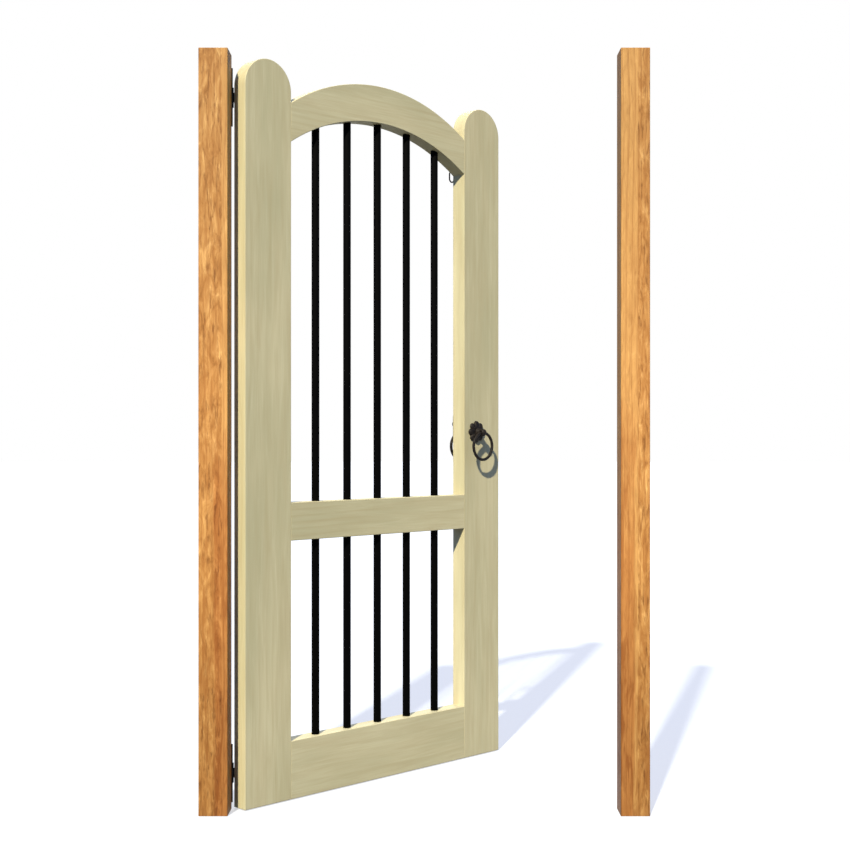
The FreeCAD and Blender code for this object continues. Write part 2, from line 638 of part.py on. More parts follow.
def grub_screw():
    slug = grub_screw_rod(GRUB_RADIUS, GRUB_LENGTH)
    low = slug.BoundBox.ZMin
    key = rod(V(slug.CenterOfMass.x, slug.CenterOfMass.y, low), UP, GRUB_KEY_DEPTH,
              GRUB_KEY_RADIUS)
    return slug.cut(key)


def latch_back_plate():
    """The plate behind the stile: it bears the cam's sleeve and carries the bar's pivot."""
    plate = block(LATCH_PLATE_US, (LEAF_THICK, PLATE_BACK_N), LATCH_PLATE_ZS)
    corners = [edge for edge in plate.Edges if abs(edge.Length - LATCH_PLATE_THICK) < 0.01]
    plate = plate.makeFillet(LATCH_PLATE_CORNER, corners)
    plate = plate.cut([axle_disc((LEAF_THICK - 1, PLATE_BACK_N + 1), NECK_RADIUS + NECK_FIT),
                       rod(V(PIVOT_U, LEAF_THICK - 1, PIVOT_Z), BACKWARD, IRON_THICK + 2,
                           PIVOT_RADIUS + HOLE_CLEARANCE)])
    return plate.cut(flush_seats(LATCH_PLATE_SCREWS))


def flush_seats(seats):
    """Countersunk holes for flush screws driven forward."""
    return [flush_screw(seat + BACKWARD * 0.1, FORWARD, FLUSH_SCREW["radius"] + HOLE_CLEARANCE,
                        FLUSH_SCREW["length"], FLUSH_SCREW["head_radius"] + 0.15)
            for seat in seats]


def flush_screws(seats):
    return Part.makeCompound([flush_screw(seat, FORWARD, **FLUSH_SCREW) for seat in seats])


def latch_pivot():
    """The headed stud the bar turns on, with a collar that spaces it off the plate."""
    def stud_disc(n_range, radius):
        return rod(V(PIVOT_U, n_range[0], PIVOT_Z), BACKWARD, n_range[1] - n_range[0], radius)

    collar_gap, head_gap = PIVOT_END_GAPS
    head_n = BAR_BACK_N + head_gap
    return fused([stud_disc((LEAF_THICK, head_n), PIVOT_RADIUS),
                  stud_disc((PLATE_BACK_N, BAR_FRONT_N - collar_gap), PIVOT_HEAD_RADIUS),
                  stud_disc((head_n, head_n + PIVOT_HEAD_THICK), PIVOT_HEAD_RADIUS)])


def latch_bar():
    """The bar that the ring lifts, tapering to a rounded tip past the leaf's edge."""
    pivot = V(PIVOT_U, 0, PIVOT_Z)
    tip = V(LATCH_TIP_U, 0, BAR_BOTTOM_Z + LATCH_TIP_HALF)
    bar = tapered_link(pivot, LATCH_BAR_HALF, tip, LATCH_TIP_HALF, (BAR_FRONT_N, BAR_BACK_N))
    return bar.cut(rod(V(PIVOT_U, LEAF_THICK, PIVOT_Z), BACKWARD, 2 * LEAF_THICK,
                       PIVOT_RADIUS + PIVOT_FIT))


def bridge(u_range, face_n, reach_n, z_range, foot, thick):
    """A strip bent into a bridge off a face that looks along +Y, with a foot at each end."""
    low, high = z_range
    feet = [block(u_range, (face_n, face_n + thick), (low - thick - foot, low)),
            block(u_range, (face_n, face_n + thick), (high, high + thick + foot))]
    legs = [block(u_range, (face_n, reach_n + thick), (low - thick, low)),
            block(u_range, (face_n, reach_n + thick), (high, high + thick))]
    span = block(u_range, (reach_n, reach_n + thick), (low - thick, high + thick))
    return fused(feet + legs + [span])


def latch_staple():
    """The tall staple near the leaf's edge that keeps the bar to the stile."""
    u_range = (STAPLE_U - STAPLE_WIDTH / 2, STAPLE_U + STAPLE_WIDTH / 2)
    solid = bridge(u_range, LEAF_THICK, STAPLE_INNER_N, (STAPLE_BOTTOM_Z, STAPLE_TOP_Z),
                   STAPLE_FOOT, IRON_THICK)
    return drill(solid, STAPLE_SCREWS, FORWARD, SMALL_SCREW)


def latch_keeper():
    """The plate on the latch post with the ramped catch that the bar drops behind."""
    x = LATCH_FACE_X + KEEPER_INSET
    face_y = HALF_POST + KEEPER_PLATE_THICK
    floor_z = BAR_BOTTOM_Z - CATCH_FLOOR_GAP
    foot_z = floor_z - KEEPER_FOOT
    toe_z = floor_z - CATCH_TOE
    lip_z = floor_z + CATCH_RISE
    plate = block((x, x + KEEPER_WIDTH), (HALF_POST, face_y), (foot_z, foot_z + KEEPER_HEIGHT))
    profile = [(face_y, toe_z), (face_y, floor_z), (CATCH_THROAT_Y, floor_z),
               (CATCH_THROAT_Y, lip_z), (CATCH_THROAT_Y + CATCH_LIP, lip_z + CATCH_LIP),
               (CATCH_THROAT_Y + CATCH_DEPTH, floor_z),
               (CATCH_THROAT_Y + CATCH_DEPTH - CATCH_UNDERCUT, toe_z)]
    catch = prism([V(x, y, z) for y, z in profile], ACROSS * CATCH_WIDTH)
    return drill(fused([plate, catch]), KEEPER_SCREWS, FORWARD, SMALL_SCREW)


# ---------------------------------------------------------------- sliding bolt
def bolt_back_plate():
    plate = block(BOLT_PLATE_US, (LEAF_THICK, LEAF_THICK + LATCH_PLATE_THICK),
                  (BOLT_Z - BOLT_PLATE_HALF, BOLT_Z + BOLT_PLATE_HALF))
    corners = [edge for edge in plate.Edges if abs(edge.Length - LATCH_PLATE_THICK) < 0.01]
    return plate.makeFillet(BOLT_PLATE_CORNER, corners).cut(flush_seats(BOLT_PLATE_SCREWS))


def bolt_guides():
    """Two saddles on the back plate that the bolt slides in."""
    saddles = []
    for u in GUIDE_US:
        foot = block((u, u + GUIDE_WIDTH), (LEAF_THICK + LATCH_PLATE_THICK, BOLT_N),
                     (BOLT_Z - GUIDE_RADIUS, BOLT_Z + GUIDE_RADIUS))
        crown = rod(V(u, BOLT_N, BOLT_Z), ACROSS, GUIDE_WIDTH, GUIDE_RADIUS)
        crown = crown.common(block((u, u + GUIDE_WIDTH), (BOLT_N, BOLT_N + GUIDE_RADIUS),
                                   (BOLT_Z - GUIDE_RADIUS, BOLT_Z + GUIDE_RADIUS)))
        bore = rod(V(u - 1, BOLT_N, BOLT_Z), ACROSS, GUIDE_WIDTH + 2, BOLT_RADIUS + BOLT_FIT)
        saddles.append(fused([foot, crown]).cut(bore))
    return Part.makeCompound(saddles)


def bolt_rod():
    """The round bolt, with a stud behind it that carries the pull loop."""
    shaft = rod(V(BOLT_START_U, BOLT_N, BOLT_Z), ACROSS, BOLT_END_U - BOLT_START_U, BOLT_RADIUS)
    ends = [edge for edge in shaft.Edges if isinstance(edge.Curve, Part.Circle)]
    shaft = shaft.makeChamfer(1.0, ends)
    u_start = STUD_U - STUD_WIDTH / 2
    web = block((u_start, u_start + STUD_WIDTH), (BOLT_N, STUD_EYE_N),
                (BOLT_Z - STUD_RADIUS + 1, BOLT_Z + STUD_RADIUS - 1))
    eye = rod(V(u_start, STUD_EYE_N, BOLT_Z), ACROSS, STUD_WIDTH, STUD_RADIUS)
    hole = rod(V(u_start - 1, STUD_EYE_N, BOLT_Z), ACROSS, STUD_WIDTH + 2, STUD_HOLE_RADIUS)
    return fused([shaft, web, eye]).cut(hole)


def bolt_pull_loop():
    """An upright oval of round wire that hangs in the stud's eye."""
    top_z = BOLT_Z - LOOP_RADIUS
    low_z = top_z - LOOP_STRAIGHT
    sides = [V(STUD_U - LOOP_RADIUS, STUD_EYE_N, low_z), V(STUD_U + LOOP_RADIUS, STUD_EYE_N, low_z)]
    shapes = [rod(side, UP, LOOP_STRAIGHT, LOOP_WIRE_RADIUS) for side in sides]
    for z, axis in ((top_z, BACKWARD), (low_z, FORWARD)):
        start = V(STUD_U - LOOP_RADIUS, STUD_EYE_N, z)
        section = Part.Face(Part.Wire(Part.Circle(start, UP, LOOP_WIRE_RADIUS).toShape()))
        shapes.append(section.revolve(V(STUD_U, STUD_EYE_N, z), axis, 180))
    return fused(shapes)


def bolt_keeper():
    """The staple on the latch post that the bolt shoots into."""
    x = LATCH_FACE_X + KEEPER_INSET
    solid = bridge((x, x + CATCH_WIDTH), HALF_POST, HALF_POST + BOLT_KEEPER_REACH,
                   (BOLT_Z - BOLT_KEEPER_HALF, BOLT_Z + BOLT_KEEPER_HALF),
                   BOLT_KEEPER_FOOT, KEEPER_PLATE_THICK)
    return drill(solid, BOLT_KEEPER_SCREWS, FORWARD, SMALL_SCREW)


# ---------------------------------------------------------------- assembly
def main():
    os.makedirs("parts", exist_ok=True)

    save("hinge_post", hinge_post())
    save("latch_post", latch_post())
    plate_screws = []
    strap_screws = []
    for name, height in HINGE_HEIGHTS.items():
        save(name + "_hinge_post_plate", hinge_post_plate(height))
        save(name + "_hinge_pin", hinge_pin(height))
        save(name + "_hinge_strap", on_leaf(hinge_strap(height)))
        plate_screws += post_plate_screws_at(height)
        strap_screws += strap_screws_at(height)
    save("post_plate_screws", screws(plate_screws, FORWARD, BIG_SCREW))
    save("hinge_strap_screws", on_leaf(screws(strap_screws, FORWARD, BIG_SCREW)))
    save("latch_keeper", latch_keeper())
    save("latch_keeper_screws", screws(KEEPER_SCREWS, FORWARD, SMALL_SCREW))
    save("bolt_keeper", bolt_keeper())
    save("bolt_keeper_screws", screws(BOLT_KEEPER_SCREWS, FORWARD, SMALL_SCREW))

    save("hinge_stile", on_leaf(hinge_stile()))
    save("latch_stile", on_leaf(latch_stile()))
    save("arched_top_rail", on_leaf(arched_top_rail()))
    save("mid_rail", on_leaf(mid_rail()))
    save("bottom_rail", on_leaf(bottom_rail()))
    for number, u in enumerate(bar_places(), start=1):
        save("infill_bar_%d" % number, on_leaf(infill_bar(u)))

    save("front_rose", on_leaf(front_rose()))
    save("rose_screws", on_leaf(screws(ROSE_SCREWS, BACKWARD, ROSE_SCREW)))
    save("front_boss", on_leaf(front_boss()))
    save("front_ring", on_leaf(pull_ring(FRONT_RING_N)))
    save("spindle", on_leaf(spindle()))
    save("lift_cam", on_leaf(lift_cam()))
    save("back_boss", on_leaf(back_boss()))
    save("back_boss_grub_screw", on_leaf(grub_screw()))
    save("back_ring", on_leaf(pull_ring(BACK_RING_N)))
    save("latch_back_plate", on_leaf(latch_back_plate()))
    save("latch_back_plate_screws", on_leaf(flush_screws(LATCH_PLATE_SCREWS)))
    save("latch_pivot", on_leaf(latch_pivot()))
    save("latch_bar", on_leaf(latch_bar()))
    save("latch_staple", on_leaf(latch_staple()))
    save("latch_staple_screws", on_leaf(screws(STAPLE_SCREWS, FORWARD, SMALL_SCREW)))

    save("bolt_back_plate", on_leaf(bolt_back_plate()))
    save("bolt_plate_screws", on_leaf(flush_screws(BOLT_PLATE_SCREWS)))
    save("bolt_guides", on_leaf(bolt_guides()))
    save("bolt_rod", on_leaf(bolt_rod()))
    save("bolt_pull_loop", on_leaf(bolt_pull_loop()))


main()
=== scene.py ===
"""The looks of the arched garden gate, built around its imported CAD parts.

Everything is in metres in the row's frame. Pieces on the leaf are drawn in the leaf's own axes, which are
u across its width from the hinge edge, n from its front face to its back face, and z up.
"""

import json
import math

import bmesh
import bpy
from mathutils import Matrix, Vector


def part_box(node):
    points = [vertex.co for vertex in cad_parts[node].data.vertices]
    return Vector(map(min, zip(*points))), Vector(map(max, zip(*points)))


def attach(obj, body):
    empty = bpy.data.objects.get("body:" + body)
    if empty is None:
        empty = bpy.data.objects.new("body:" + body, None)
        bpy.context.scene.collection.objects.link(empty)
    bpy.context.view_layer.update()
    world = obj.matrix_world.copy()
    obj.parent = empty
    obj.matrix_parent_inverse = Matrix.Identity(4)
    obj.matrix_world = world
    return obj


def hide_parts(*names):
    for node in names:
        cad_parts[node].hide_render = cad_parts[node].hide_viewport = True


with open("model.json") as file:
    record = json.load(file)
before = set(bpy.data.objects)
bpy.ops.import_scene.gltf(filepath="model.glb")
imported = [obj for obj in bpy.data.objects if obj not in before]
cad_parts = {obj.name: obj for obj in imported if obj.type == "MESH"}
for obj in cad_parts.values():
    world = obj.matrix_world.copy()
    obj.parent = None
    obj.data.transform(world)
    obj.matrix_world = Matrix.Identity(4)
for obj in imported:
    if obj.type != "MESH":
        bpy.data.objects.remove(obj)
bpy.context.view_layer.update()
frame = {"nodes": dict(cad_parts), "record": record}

# ---------------------------------------------------------------- driving sizes, in metres
MM = 0.001
LEAF_THICK = 44 * MM
LEAF_ANGLE = math.radians(45)
ARCH_RADIUS = 575 * MM
ARCH_DEPTH = 97 * MM
LEAF_ARRIS = 1.6 * MM
POST_ARRIS = 1.8 * MM
INNER_FACE = 33 * MM            # where a post's inner arris begins, from its middle
POST_TONE_HEIGHT = 1.834        # the posts' slow change of tone runs over their height
JOINT_ARRIS = 0.25              # share of the arris left along a glued joint
POST_CORNERS = (0.5, 1, 0.7, 1)  # share of the arris at a post's foot, right, top and left
IRON_ARRIS = 0.35 * MM
BAR_CHAMFER = 1 * MM
SHANK_SHARE = 0.52              # a screw's shank to its head
SCREW_ARRIS = 0.08 * MM
RIM_DROP = 0.15 * MM            # a screw head's rim is eased by this much

ROSE_LOBES = 8
ROSE_EDGE = 1.6 * MM            # thickness of the rose at its rim
ROSE_CROWN = 3 * MM             # flat round the neck
ROSE_BORE = 8.08 * MM
PETAL_SHARE = 0.30              # a petal's radius to the rose's
VALLEY_DEPTH = 2.2 * MM         # between two petals
ROSE_SCREW_CROWN = 1.4 * MM
HOLE_GAP = 0.25 * MM            # round a screw's head
ROSE_ARRIS = 0.25 * MM

CAMERA_PLACE = Vector((0.5058, -3.3736, 0.917))
CAMERA_LENS = 59.29
CAMERA_SHIFT = 0.0081
FILL_FROM_ABOVE = (0.235, 0.375, 0.68)
FILL_FROM_BELOW = (0.150, 0.150, 0.115)
HORIZON = (0.47, 0.53)          # the two fills meet between these, from straight down 0 to up 1
SUNS = {                        # the way the light travels, its strength, its width and its colour
    "key light": (Vector((0.206, 0.738, -0.642)), 7.0, math.radians(1.8), (1, 0.917, 0.70)),
    "back light": (Vector((0.05, -0.75, -0.65)), 1.6, math.radians(20), (1, 0.93, 0.80))}
FLOOR_RADIUS = 40
FLOOR_COLOUR = (0.30, 0.33, 0.40, 1)
FLOOR_GLOW = (1, 0.98, 0.96, 1)
FLOOR_GLOW_STRENGTH = 0.55

ARC_STEPS = 72
RING_STEPS = 96
TURNED_SIDES = 64
WIRE_SIDES = 24
THREAD_SIDES = 20
SCREW_SIDES = 32
SEAT_SIDES = 40
ROSE_SIDES = 24 * ROSE_LOBES
ROSE_ROWS = 22
CORNER_ANGLE = math.radians(32)  # edges sharper than this are eased
BEND_ANGLE = math.radians(20)   # outline corners sharper than this are eased across the board
WELD_GAP = 0.002 * MM
SOLID_GAP = 0.005 * MM          # vertices nearer than this belong to one solid


# ---------------------------------------------------------------- where things are
def leaf_matrix():
    """From the leaf's own axes to the row's, from where the hinge stile stands."""
    low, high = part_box("hinge_stile")
    corner = Vector((low.x + LEAF_THICK * math.sin(LEAF_ANGLE), low.y, 0))
    return Matrix.Translation(corner) @ Matrix.Rotation(LEAF_ANGLE, 4, "Z")


LEAF = leaf_matrix()
ROW = Matrix.Identity(4)
REPLACED = set()                # CAD nodes that a new piece stands for


def box_of(points):
    """Lowest and highest corners of some points."""
    return (Vector([min(point[axis] for point in points) for axis in range(3)]),
            Vector([max(point[axis] for point in points) for axis in range(3)]))


def box_in(node, space):
    """Lowest and highest corners of a CAD node along the axes of a space."""
    inverse = space.inverted()
    return box_of([inverse @ vertex.co for vertex in frame["nodes"][node].data.vertices])


def body_of(node):
    """The name of the CAD body a node belongs to."""
    bodies = frame["record"]["behaviour"]["bodies"]
    return next(body for body, nodes in bodies.items() if node in nodes)


# ---------------------------------------------------------------- node-building shorthand
def start_material(name):
    """A new material with an empty principled shader."""
    material = bpy.data.materials.new(name)
    material.use_nodes = True
    tree = material.node_tree
    tree.nodes.clear()
    output = tree.nodes.new("ShaderNodeOutputMaterial")
    shader = tree.nodes.new("ShaderNodeBsdfPrincipled")
    tree.links.new(shader.outputs["BSDF"], output.inputs["Surface"])
    return material, tree, shader


def wire(tree, source, socket):
    """Link a node's first output, or a socket, or set a plain value."""
    if isinstance(source, bpy.types.Node):
        tree.links.new(source.outputs[0], socket)
    elif isinstance(source, bpy.types.NodeSocket):
        tree.links.new(source, socket)
    else:
        socket.default_value = source


def add(tree, kind, *inputs, **settings):
    """A node of a kind, with its settings, and its first inputs wired in order."""
    node = tree.nodes.new("ShaderNode" + kind)
    for key, value in settings.items():
        setattr(node, key, value)
    for socket, source in zip(node.inputs, inputs):
        if source is not None:
            wire(tree, source, socket)
    return node


def object_space(tree):
    """The piece's own coordinates."""
    return tree.nodes.new("ShaderNodeTexCoord").outputs["Object"]


def math_node(tree, operation, a, b=0.0, c=0.0):
    return add(tree, "Math", a, b, c, operation=operation)


def noise_node(tree, vector, scale, detail=3.0, roughness=0.55, distortion=0.0):
    node = add(tree, "TexNoise", vector)
    node.inputs["Scale"].default_value = scale
    node.inputs["Detail"].default_value = detail
    node.inputs["Roughness"].default_value = roughness
    node.inputs["Distortion"].default_value = distortion
    return node.outputs["Fac"]


def ramp(tree, factor, stops, interpolation="LINEAR"):
    """A colour ramp: stops are (place, colour) with three or one colour numbers."""
    node = add(tree, "ValToRGB", factor)
    node.color_ramp.interpolation = interpolation
    elements = node.color_ramp.elements
    while len(elements) < len(stops):
        elements.new(0.5)
    for element, (place, colour) in zip(elements, stops):
        element.position = place
        channels = colour if isinstance(colour, tuple) else (colour,) * 3
        element.color = (*channels, 1)
    return node.outputs["Color"]


def mix_colour(tree, factor, a, b, blend="MIX"):
    node = tree.nodes.new("ShaderNodeMix")
    node.data_type = "RGBA"
    node.blend_type = blend
    for name, source in (("Factor_Float", factor), ("A_Color", a), ("B_Color", b)):
        socket = [s for s in node.inputs if s.identifier == name][0]
        wire(tree, (*source, 1) if isinstance(source, tuple) else source, socket)
    return [s for s in node.outputs if s.identifier == "Result_Color"][0]


def bump(tree, shader, height, strength, distance, below=None):
    """A bump node on the shader, over an earlier bump if there is one."""
    node = add(tree, "Bump")
    node.inputs["Strength"].default_value = strength
    node.inputs["Distance"].default_value = distance
    wire(tree, height, node.inputs["Height"])
    if below:
        tree.links.new(below.outputs["Normal"], node.inputs["Normal"])
    tree.links.new(node.outputs["Normal"], shader.inputs["Normal"])
    return node


# ---------------------------------------------------------------- materials
def grain_space(tree, along, seed):
    """Object coordinates turned so that Z runs along the grain, moved by a seed."""
    turns = {"z": (0, 0, 0), "x": (0, math.pi / 2, 0)}
    node = add(tree, "Mapping", object_space(tree))
    node.inputs["Rotation"].default_value = turns[along]
    node.inputs["Location"].default_value = seed
    return node.outputs["Vector"]


def stretched(tree, vector, along):
    """Coordinates squeezed along the grain, so that what is drawn in them runs long."""
    node = add(tree, "Mapping", vector)
    node.inputs["Scale"].default_value = (1, 1, along)
    return node.outputs["Vector"]


def growth_rings(tree, vector, pith, spacing, waviness):
    """A saw wave over the distance from the pith: 0 to 1 through each year's wood."""
    drift = noise_node(tree, stretched(tree, vector, 0.35), 4, 2, 0.5).node
    centred = add(tree, "VectorMath", drift.outputs["Color"], (0.5, 0.5, 0.5), operation="SUBTRACT")
    shift = add(tree, "VectorMath", centred, operation="SCALE")
    shift.inputs["Scale"].default_value = waviness
    moved = add(tree, "VectorMath", vector, shift, operation="ADD")
    from_pith = add(tree, "VectorMath", moved, pith, operation="SUBTRACT")
    across = add(tree, "VectorMath", from_pith, (1, 1, 0.012), operation="MULTIPLY")
    distance = add(tree, "VectorMath", across, operation="LENGTH").outputs["Value"]
    return math_node(tree, "FRACT", math_node(tree, "DIVIDE", distance, spacing))


def leaf_timber(name, along, seed, pith):
    """Pale planed softwood, with soft wandering figure, fibres and broad drifts of tone."""
    material, tree, shader = start_material(name)
    vector = grain_space(tree, along, seed)
    year = growth_rings(tree, vector, pith, 17 * MM, 0.055)
    late_wood = ramp(tree, year, [(0.0, 0.0), (0.45, 0.1), (0.86, 1.0), (1.0, 0.0)], "EASE")
    fibre = noise_node(tree, stretched(tree, vector, 0.012), 900, 3)
    streak = noise_node(tree, stretched(tree, vector, 0.07), 55, 4, 0.6, 0.8)
    drift = noise_node(tree, stretched(tree, vector, 0.25), 9, 3)
    spread = noise_node(tree, stretched(tree, vector, 0.2), 5, 2)

    colour = ramp(tree, drift, [(0.3, (0.450, 0.420, 0.262)), (0.7, (0.570, 0.518, 0.336))])
    ring_share = math_node(tree, "MULTIPLY", late_wood, ramp(tree, spread, [(0.35, 0.06), (0.7, 0.32)]))
    colour = mix_colour(tree, ring_share, colour, (0.360, 0.294, 0.156))
    colour = mix_colour(tree, ramp(tree, streak, [(0.45, 0.0), (0.78, 0.55)]), colour, (0.414, 0.342, 0.195))
    colour = mix_colour(tree, ramp(tree, streak, [(0.22, 0.45), (0.42, 0.0)]), colour, (0.624, 0.582, 0.401))
    colour = mix_colour(tree, ramp(tree, fibre, [(0.35, 0.22), (0.6, 0.0)]), colour, (0.348, 0.288, 0.171))
    wire(tree, colour, shader.inputs["Base Color"])
    wire(tree, ramp(tree, fibre, [(0.3, 0.74), (0.7, 0.58)]), shader.inputs["Roughness"])
    shader.inputs["Specular IOR Level"].default_value = 0.3
    coarse = bump(tree, shader, late_wood, 0.2, 0.12 * MM)
    bump(tree, shader, fibre, 0.35, 0.12 * MM, coarse)
    return material


def post_timber(name, seed, pith, heart_side, inner_face_painted_shade, figure_edge, figure_side):
    """Honey-coloured oiled timber with short dark flecks, and redder heartwood low on one side.

    The face towards the gateway is darker by painted shade, a darker tone multiplied over it. The figure is
    strong on one side of a plane at x = figure_edge, and weak on the other, where the timber is plainer and
    paler.
    """
    material, tree, shader = start_material(name)
    vector = grain_space(tree, "z", seed)
    across, _, up = add(tree, "SeparateXYZ", object_space(tree)).outputs
    year = growth_rings(tree, vector, pith, 13 * MM, 0.05)
    late_wood = ramp(tree, year, [(0.0, 0.0), (0.5, 0.1), (0.88, 1.0), (1.0, 0.0)], "EASE")
    fibre = noise_node(tree, stretched(tree, vector, 0.02), 700, 3)
    mottle = noise_node(tree, stretched(tree, vector, 0.30), 48, 5, 0.66, 0.9)
    fleck = noise_node(tree, stretched(tree, vector, 0.14), 170, 4, 0.62, 0.4)
    drift = noise_node(tree, stretched(tree, vector, 0.3), 9, 3)

    colour = ramp(tree, mottle, [(0.28, (0.24, 0.095, 0.022)), (0.44, (0.425, 0.195, 0.056)),
                                 (0.57, (0.53, 0.270, 0.088)), (0.74, (0.80, 0.470, 0.180))])
    past_edge = math_node(tree, "MULTIPLY_ADD", across, figure_side / (2 * MM),
                          -figure_side * figure_edge / (2 * MM))
    figure = ramp(tree, past_edge, [(0.0, 0.35), (1.0, 1.0)])
    colour = mix_colour(tree, figure, (0.60, 0.325, 0.110), colour)
    colour = mix_colour(tree, math_node(tree, "MULTIPLY", late_wood, 0.35), colour, (0.27, 0.105, 0.026))
    fleck_share = math_node(tree, "MULTIPLY", ramp(tree, fleck, [(0.52, 0.0), (0.70, 0.95)]), figure)
    colour = mix_colour(tree, fleck_share, colour, (0.17, 0.062, 0.015))
    colour = mix_colour(tree, ramp(tree, fibre, [(0.3, 0.3), (0.6, 0.0)]), colour, (0.20, 0.075, 0.018))

    height = math_node(tree, "DIVIDE", up, POST_TONE_HEIGHT)
    streak = noise_node(tree, stretched(tree, vector, 0.10), 85, 4, 0.6, 0.7)
    streak_share = math_node(tree, "MULTIPLY", ramp(tree, streak, [(0.50, 0.0), (0.60, 0.72)]),
                             ramp(tree, height, [(0.15, 1.0), (0.8, 0.22)]))
    colour = mix_colour(tree, streak_share, colour, (0.30, 0.115, 0.028))
    tone = ramp(tree, height, [(0.1, (0.69, 0.68, 0.64)), (0.32, (0.96, 0.97, 0.95)),
                               (0.55, (1, 1, 1)), (0.9, (0.84, 0.87, 0.90))])
    colour = mix_colour(tree, 1.0, colour, tone, "MULTIPLY")

    side = math_node(tree, "MULTIPLY", across, heart_side / (9 * MM))
    reach = math_node(tree, "MULTIPLY_ADD", up, -2.4, 2.2)
    wander = math_node(tree, "MULTIPLY_ADD", drift, 2.4, -1.2)
    heart = math_node(tree, "ADD", math_node(tree, "MINIMUM", side, reach), wander)
    heart_share = ramp(tree, heart, [(0.0, 0.0), (0.7, 0.85)])
    colour = mix_colour(tree, heart_share, colour, (0.78, 0.60, 0.50), "MULTIPLY")

    # painted shade: the face towards the gateway is multiplied by a darker, less blue tone that stands in
    # for the shade it falls in
    inner_face_shade_mask = math_node(tree, "MULTIPLY_ADD", across, heart_side / (2 * MM), -INNER_FACE / (2 * MM))
    colour = mix_colour(tree, ramp(tree, inner_face_shade_mask, [(0.0, 0.0), (1.0, 1.0)]), colour,
                        mix_colour(tree, 1.0, colour, inner_face_painted_shade, "MULTIPLY"))
    wire(tree, colour, shader.inputs["Base Color"])
    wire(tree, ramp(tree, mottle, [(0.3, 0.58), (0.7, 0.45)]), shader.inputs["Roughness"])
    shader.inputs["Specular IOR Level"].default_value = 0.14
    coarse = bump(tree, shader, late_wood, 0.3, 0.2 * MM)
    bump(tree, shader, fibre, 0.4, 0.15 * MM, coarse)
    return material


def black_metal(name, tone, brown, roughness, hammer, cast_grain, specular):
    """Black ironwork: a soft unevenness of tone, and a hammered and a cast grain in relief."""
    material, tree, shader = start_material(name)
    vector = object_space(tree)
    patch = noise_node(tree, vector, 38, 4, 0.6)
    grain = noise_node(tree, vector, 1400, 3, 0.6)
    dents = noise_node(tree, vector, 130, 1.5, 0.4)
    edge = add(tree, "NewGeometry").outputs["Pointiness"]
    worn = ramp(tree, edge, [(0.52, 0.0), (0.62, 0.55)])
    colour = ramp(tree, patch, [(0.35, tone), (0.68, brown)])
    colour = mix_colour(tree, worn, colour, tuple(2.2 * channel for channel in brown))
    wire(tree, colour, shader.inputs["Base Color"])
    shader.inputs["Specular IOR Level"].default_value = specular
    wire(tree, ramp(tree, patch, [(0.3, roughness - 0.06), (0.7, roughness + 0.08)]),
         shader.inputs["Roughness"])
    coarse = bump(tree, shader, dents, hammer, 1.2 * MM)
    bump(tree, shader, grain, cast_grain, 0.12 * MM, coarse)
    return material


def blued_steel(name):
    """Drawn steel with a blue-black finish and fine lengthwise lines."""
    material, tree, shader = start_material(name)
    vector = object_space(tree)
    drawn = noise_node(tree, stretched(tree, vector, 0.05), 1500, 2)
    patch = noise_node(tree, vector, 60, 3)
    wire(tree, ramp(tree, patch, [(0.35, (0.05, 0.057, 0.066)), (0.7, (0.10, 0.11, 0.125))]),
         shader.inputs["Base Color"])
    shader.inputs["Metallic"].default_value = 0.85
    wire(tree, ramp(tree, drawn, [(0.3, 0.30), (0.7, 0.46)]), shader.inputs["Roughness"])
    bump(tree, shader, drawn, 0.2, 0.04 * MM)
    return material


# ---------------------------------------------------------------- mesh helpers
def mesh_from(form, face_out=True):
    """A mesh made of a bmesh, with its faces turned outwards."""
    if face_out:
        bmesh.ops.recalc_face_normals(form, faces=form.faces)
    mesh = bpy.data.meshes.new("shape")
    form.to_mesh(mesh)
    form.free()
    return mesh


def directions(count):
    """Angles evenly spaced round a circle."""
    return [2 * math.pi * k / count for k in range(count)]


def skin(form, rings, around=False):
    """Faces between neighbouring rings of vertices; a ring of one vertex is a pole."""
    sides = max(len(ring) for ring in rings)
    for first, second in zip(rings, rings[1:] + (rings[:1] if around else [])):
        for k in range(sides):
            j = (k + 1) % sides
            corners = [first[k % len(first)], first[j % len(first)],
                       second[j % len(second)], second[k % len(second)]]
            form.faces.new(list(dict.fromkeys(corners)))


def finish_piece(node, mesh, material, space):
    """Put a new mesh in the scene in a CAD node's stead: its place, finish, body and slot."""
    piece = bpy.data.objects.new("visual_" + node, mesh)
    bpy.context.scene.collection.objects.link(piece)
    piece.matrix_world = space
    mesh.materials.append(material)
    for polygon in mesh.polygons:
        polygon.use_smooth = True
    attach(piece, body_of(node))
    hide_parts(node)
    REPLACED.add(node)
    return piece


def ease_edges(piece, width, by_weight=False, segments=3):
    """Round off a piece's edges, and keep its flat faces flat."""
    bevel = piece.modifiers.new("eased edges", "BEVEL")
    bevel.width = width
    bevel.segments = segments
    bevel.limit_method = "WEIGHT" if by_weight else "ANGLE"
    bevel.angle_limit = CORNER_ANGLE
    bevel.harden_normals = True


def board_mesh(outline, n_low, n_high, weights):
    """A prism over an outline of (u, z) points, with a bevel weight for each side of the outline."""
    form = bmesh.new()
    weight_layer = form.edges.layers.float.new("bevel_weight_edge")
    front = [form.verts.new((u, n_low, z)) for u, z in outline]
    back = [form.verts.new((u, n_high, z)) for u, z in outline]
    form.faces.new(front)
    form.faces.new(list(reversed(back)))
    count = len(outline)
    for i in range(count):
        j = (i + 1) % count
        form.faces.new((front[j], front[i], back[i], back[j]))
        for ring in (front, back):
            form.edges.get((ring[i], ring[j]))[weight_layer] = weights[i]
    for i in range(count):
        before = Vector(outline[i]) - Vector(outline[i - 1])
        after = Vector(outline[(i + 1) % count]) - Vector(outline[i])
        if before.angle(after) > BEND_ANGLE:
            edge = form.edges.get((front[i], back[i]))
            edge[weight_layer] = min(weights[i - 1], weights[i])
    return mesh_from(form, face_out=False)


